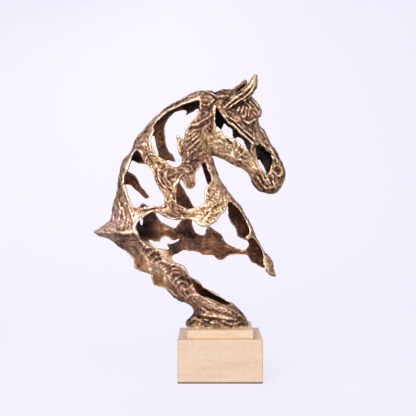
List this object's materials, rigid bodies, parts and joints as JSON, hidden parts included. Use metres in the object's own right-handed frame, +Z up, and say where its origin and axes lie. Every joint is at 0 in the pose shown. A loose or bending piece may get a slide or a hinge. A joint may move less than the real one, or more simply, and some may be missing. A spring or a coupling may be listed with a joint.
{
  "type": "horse statue",
  "caption": "Openwork bronze horse head and neck on a twisted stalk, standing on a two-step square stone plinth.",
  "frame": {"origin": "middle of the felt underside that the plinth rests on", "axes": "+X where the horse faces, +Y its far side, +Z up"},
  "size_m": [0.3504, 0.15, 0.5475],
  "materials": {
    "bronze": "cast and hand-patinated, dark brown in the hollows and rubbed gold on the ridges",
    "stone": "honed beige travertine",
    "felt": "dark wool felt",
    "steel": "zinc-plated"
  },
  "bodies": {
    "root": {"felt_pad": "felt", "plinth_block": "stone", "plinth_slab": "stone", "foot_casting": "bronze", "mounting_studs": "steel", "stud_washers": "steel", "stud_nuts": "steel", "stalk_near": "bronze", "stalk_far": "bronze", "shank_far": "bronze", "shoulder_near": "bronze", "shoulder_far": "bronze", "mane_near": "bronze", "mane_far": "bronze", "neck_near": "bronze", "neck_far": "bronze", "throat_near": "bronze", "throat_far": "bronze", "breast_near": "bronze", "belly_far": "bronze", "strap_near": "bronze", "strap_tip": "bronze", "strap_far": "bronze", "face_near": "bronze", "face_far": "bronze", "jaw_near": "bronze", "jaw_far": "bronze", "muzzle": "bronze", "ear_near": "bronze", "ear_far": "bronze"}
  },
  "joints": []
}
